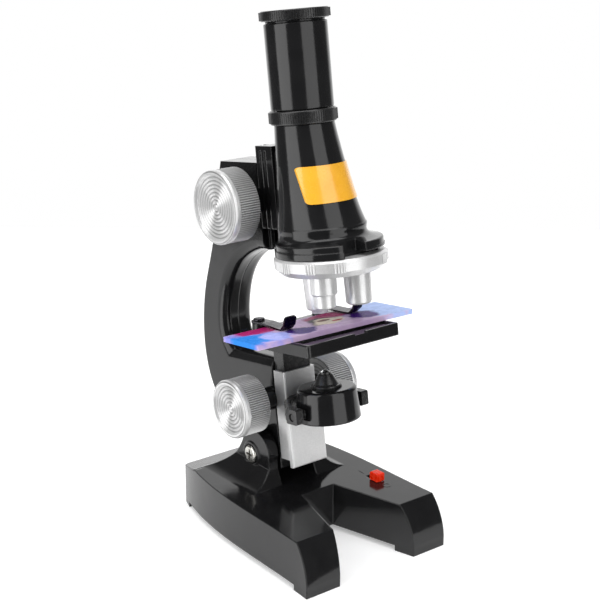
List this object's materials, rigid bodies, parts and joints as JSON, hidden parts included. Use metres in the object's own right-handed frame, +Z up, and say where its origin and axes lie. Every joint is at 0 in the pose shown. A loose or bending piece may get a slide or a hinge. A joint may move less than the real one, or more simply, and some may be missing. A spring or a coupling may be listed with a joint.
{
  "type": "toy microscope",
  "caption": "Tilting toy microscope: horseshoe base, curved arm, rack focusing, turret of three objectives, sliding stage with clips and a flip-over lamp and mirror.",
  "frame": {"origin": "on the table, under the middle of the whole object's box at rest", "axes": "+Z up, +X to the microscope's right, -Y towards the prongs and the specimen side"},
  "size_m": [0.0772, 0.11, 0.22],
  "materials": {
    "black_gloss": "high-gloss moulded black plastic",
    "black_satin": "satin moulded black plastic",
    "silver_plastic": "silver lacquered plastic",
    "nickel_steel": "nickel-plated steel",
    "steel": "bright drawn steel",
    "blued_spring": "blackened spring steel",
    "white_nylon": "natural white nylon",
    "red_plastic": "red moulded plastic",
    "yellow_label": "plain yellow vinyl label",
    "cell_wrap": "printed foil sleeve without marks",
    "slide_plastic": "clear plastic slide with an abstract print",
    "lens_glass": "polished clear lens",
    "led_epoxy": "clear epoxy",
    "mirror": "silvered plane mirror"
  },
  "bodies": {
    "base": {"base_shell": "black_gloss", "base_cover": "black_satin", "base_screws": "nickel_steel", "battery_cells": "cell_wrap", "battery_contacts": "nickel_steel", "switch_body": "black_satin", "pivot_bolt": "nickel_steel", "pivot_nut": "nickel_steel", "pivot_washers": "steel"},
    "battery_lid": {"battery_door": "black_satin"},
    "switch": {"switch_slider": "red_plastic"},
    "arm": {"arm_left": "black_gloss", "arm_right": "black_gloss", "arm_screws": "nickel_steel"},
    "focus_drive": {"focus_shaft": "steel", "focus_pinion": "white_nylon", "focus_knob_left": "silver_plastic", "focus_knob_right": "silver_plastic"},
    "stage_drive": {"stage_shaft": "steel", "stage_pinion": "white_nylon", "stage_knob_left": "silver_plastic", "stage_knob_right": "silver_plastic"},
    "tube": {"tube_slider": "black_gloss", "tube_rack": "white_nylon", "body_tube": "black_gloss", "label_plate": "yellow_label", "nose_plate": "black_satin", "collar_ring": "black_satin", "turret_screw": "nickel_steel"},
    "eyepiece": {"draw_tube": "black_gloss", "eyepiece_cap": "black_satin", "eye_lens": "lens_glass", "field_lens": "lens_glass", "lens_retainer": "black_satin"},
    "turret": {"turret_disc": "silver_plastic", "objective_high": "silver_plastic", "objective_mid": "silver_plastic", "objective_low": "silver_plastic", "objective_lenses": "lens_glass"},
    "stage": {"stage_slider": "black_satin", "stage_rack": "white_nylon", "slide_sleeve": "silver_plastic", "stage_plate": "black_gloss", "clip_rivets": "nickel_steel", "lamp_yoke": "black_satin"},
    "left_clip": {"clip_left": "blued_spring"},
    "right_clip": {"clip_right": "blued_spring"},
    "specimen": {"specimen_slide": "slide_plastic"},
    "lamp": {"lamp_housing": "black_gloss", "lamp_nozzle": "black_satin", "lamp_lens": "lens_glass", "lamp_led": "led_epoxy", "lamp_mirror": "mirror"}
  },
  "joints": [
    {"name": "arm_tilt", "type": "hinge", "parent": "base", "child": "arm", "pos_m": [0, 0.01086, 0.032], "axis": [-1, 0, 0], "range_deg": [-8.5, 35]},
    {"name": "tube_focus", "type": "slide", "parent": "arm", "child": "tube", "axis": [0, 0.1478, 0.989], "range_m": [0, 0.02]},
    {"name": "focus_knobs_turn", "type": "hinge", "parent": "arm", "child": "focus_drive", "pos_m": [0, 0.01789, 0.13995], "axis": [-1, 0, 0], "range_deg": [0, 261]},
    {"name": "stage_travel", "type": "slide", "parent": "arm", "child": "stage", "axis": [0, 0.1478, 0.989], "range_m": [-0.006, 0]},
    {"name": "stage_knobs_turn", "type": "hinge", "parent": "arm", "child": "stage_drive", "pos_m": [0, 0.0056, 0.05766], "axis": [-1, 0, 0], "range_deg": [-79, 0]},
    {"name": "turret_spin", "type": "hinge", "parent": "tube", "child": "turret", "pos_m": [0, -0.02303, 0.12351], "axis": [0, 0.1478, 0.989], "continuous": true},
    {"name": "eyepiece_draw", "type": "slide", "parent": "tube", "child": "eyepiece", "axis": [0, 0.1478, 0.989], "range_m": [0, 0.018]},
    {"name": "left_clip_swing", "type": "hinge", "parent": "stage", "child": "left_clip", "pos_m": [-0.0156, 0.00331, 0.0938], "axis": [0, 0.1478, 0.989], "range_deg": [-40, 10]},
    {"name": "right_clip_swing", "type": "hinge", "parent": "stage", "child": "right_clip", "pos_m": [0.0156, 0.00331, 0.0938], "axis": [0, 0.1478, 0.989], "range_deg": [-22, 28]},
    {"name": "specimen_shift", "type": "slide", "parent": "stage", "child": "specimen", "axis": [1, 0, 0], "range_m": [-0.012, 0.012]},
    {"name": "lamp_flip", "type": "hinge", "parent": "stage", "child": "lamp", "pos_m": [0, -0.02246, 0.06074], "axis": [1, 0, 0], "range_deg": [0, 180]},
    {"name": "switch_travel", "type": "slide", "parent": "base", "child": "switch", "axis": [0, 1, 0], "range_m": [0, 0.0035]},
    {"name": "battery_lid_drop", "type": "slide", "parent": "base", "child": "battery_lid", "axis": [0, 0, -1], "range_m": [0, 0.0022]}
  ],
  "couplings": [
    {"joint": "focus_knobs_turn", "follows": "tube_focus", "rad_per_m": 227.27},
    {"joint": "stage_knobs_turn", "follows": "stage_travel", "rad_per_m": 227.27}
  ]
}
